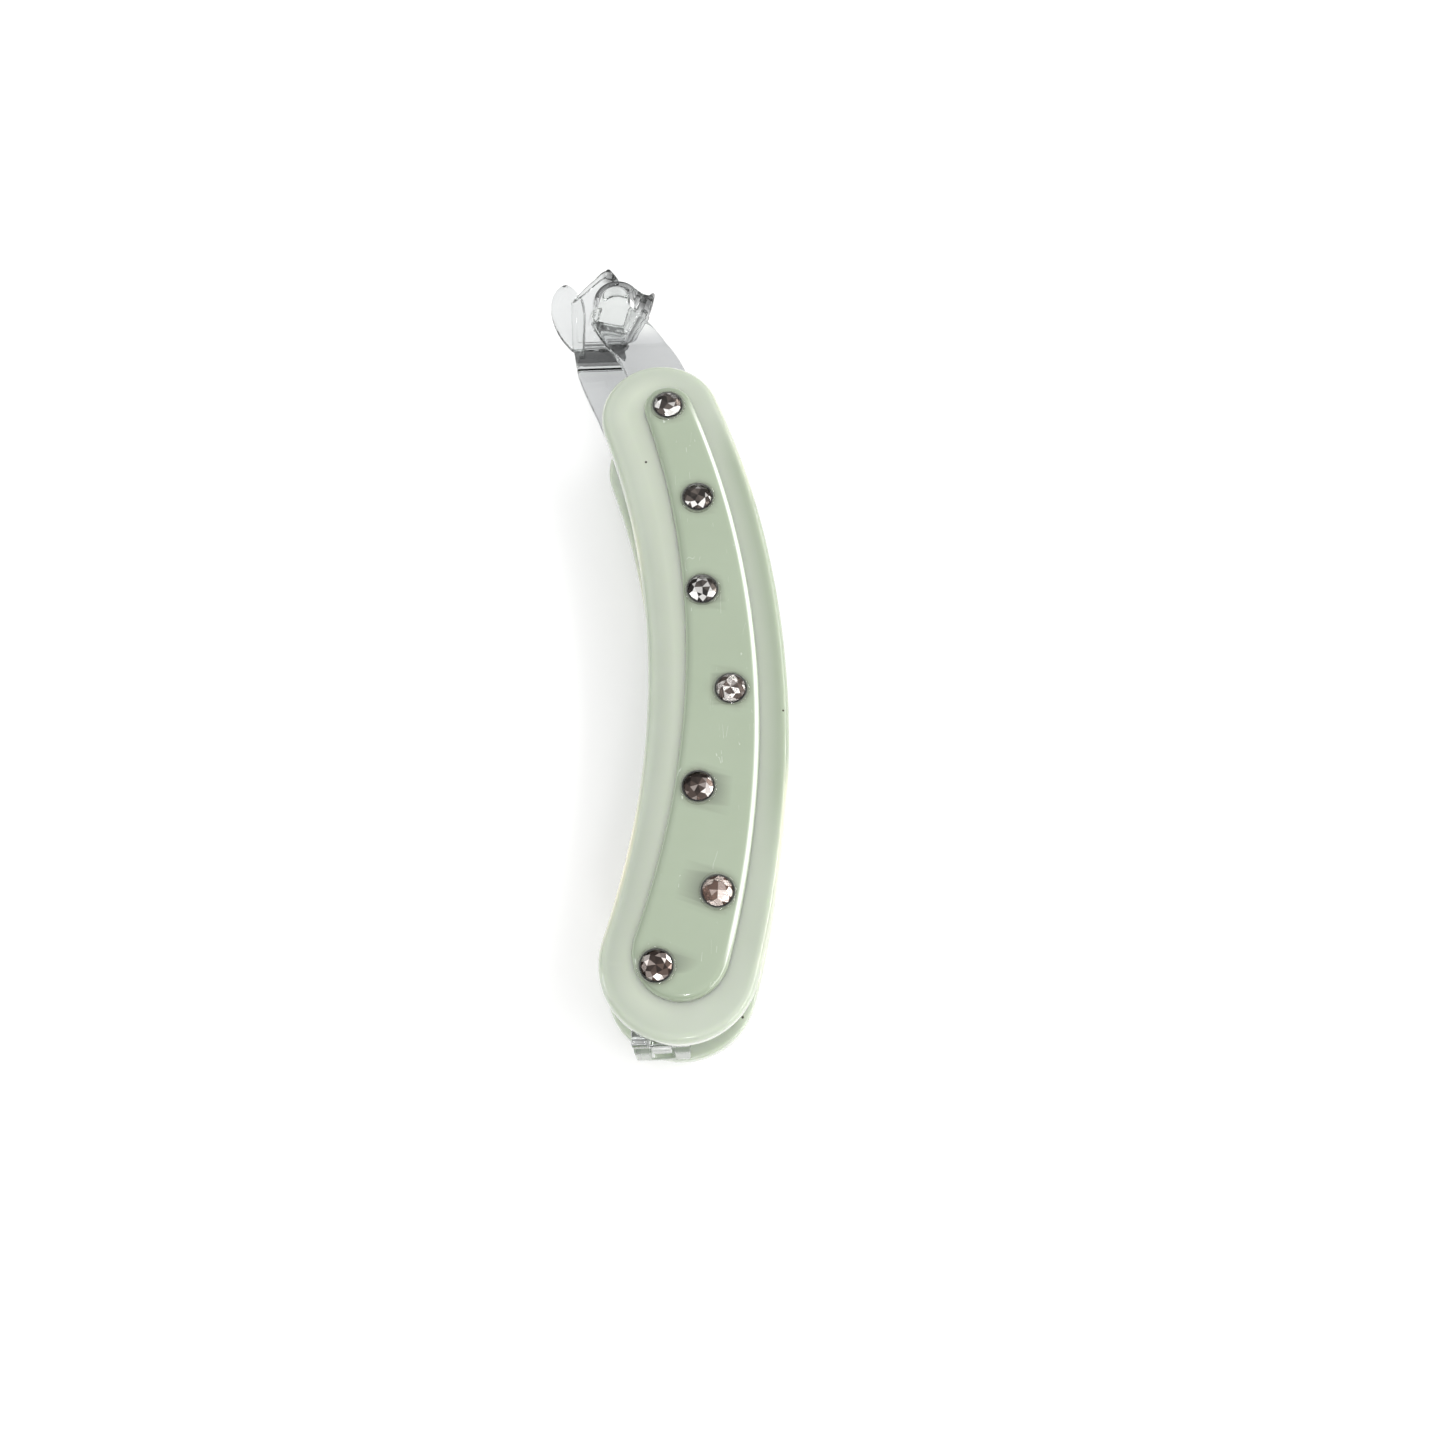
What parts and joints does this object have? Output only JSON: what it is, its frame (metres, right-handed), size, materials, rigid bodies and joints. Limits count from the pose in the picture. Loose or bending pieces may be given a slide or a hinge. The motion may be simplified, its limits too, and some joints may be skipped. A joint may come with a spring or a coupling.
{
  "type": "banana hair clip",
  "caption": "Long curved hair clip with two hinged comb arms and a snap latch, faced with pastel plates set with round faceted stones.",
  "frame": {"origin": "under the middle of the closed clip's box, on the surface it lies on", "axes": "+Y from the hinge to the latch, +Z from the rear arm up to the front arm, +X towards the convex side"},
  "size_m": [0.0366, 0.1353, 0.0255],
  "materials": {
    "clear_plastic": "clear, polished",
    "jelly_plastic": "milky, polished",
    "pastel_plastic": "satin gloss",
    "rhinestone_glass": "faceted, foiled back",
    "clear_glue": "clear, wet look",
    "pin_steel": "bright wire"
  },
  "bodies": {
    "rear_arm": {"rear_comb": "clear_plastic", "rear_plate": "jelly_plastic", "rear_overlay": "pastel_plastic", "rear_rhinestone_1": "rhinestone_glass", "rear_adhesive_1": "clear_glue", "rear_rhinestone_2": "rhinestone_glass", "rear_adhesive_2": "clear_glue", "rear_rhinestone_3": "rhinestone_glass", "rear_adhesive_3": "clear_glue", "rear_rhinestone_4": "rhinestone_glass", "rear_adhesive_4": "clear_glue", "rear_rhinestone_5": "rhinestone_glass", "rear_adhesive_5": "clear_glue", "rear_rhinestone_6": "rhinestone_glass", "rear_adhesive_6": "clear_glue", "rear_rhinestone_7": "rhinestone_glass", "rear_adhesive_7": "clear_glue", "hinge_pin": "pin_steel"},
    "front_arm": {"front_comb": "clear_plastic", "front_plate": "jelly_plastic", "front_overlay": "pastel_plastic", "front_rhinestone_1": "rhinestone_glass", "front_adhesive_1": "clear_glue", "front_rhinestone_2": "rhinestone_glass", "front_adhesive_2": "clear_glue", "front_rhinestone_3": "rhinestone_glass", "front_adhesive_3": "clear_glue", "front_rhinestone_4": "rhinestone_glass", "front_adhesive_4": "clear_glue", "front_rhinestone_5": "rhinestone_glass", "front_adhesive_5": "clear_glue", "front_rhinestone_6": "rhinestone_glass", "front_adhesive_6": "clear_glue", "front_rhinestone_7": "rhinestone_glass", "front_adhesive_7": "clear_glue"},
    "latch_catch": {"latch_catch": "clear_plastic"}
  },
  "joints": [
    {"name": "jaw_open", "type": "hinge", "parent": "rear_arm", "child": "front_arm", "pos_m": [-0.00199, -0.06505, 0.01275], "axis": [1, 0, 0], "range_deg": [0, 90]},
    {"name": "catch_flex", "type": "hinge", "parent": "rear_arm", "child": "latch_catch", "pos_m": [-0.01, 0.05165, 0.00675], "axis": [1, 0, 0], "range_deg": [0, 8], "stiffness_Nm_per_rad": 0.1}
  ]
}
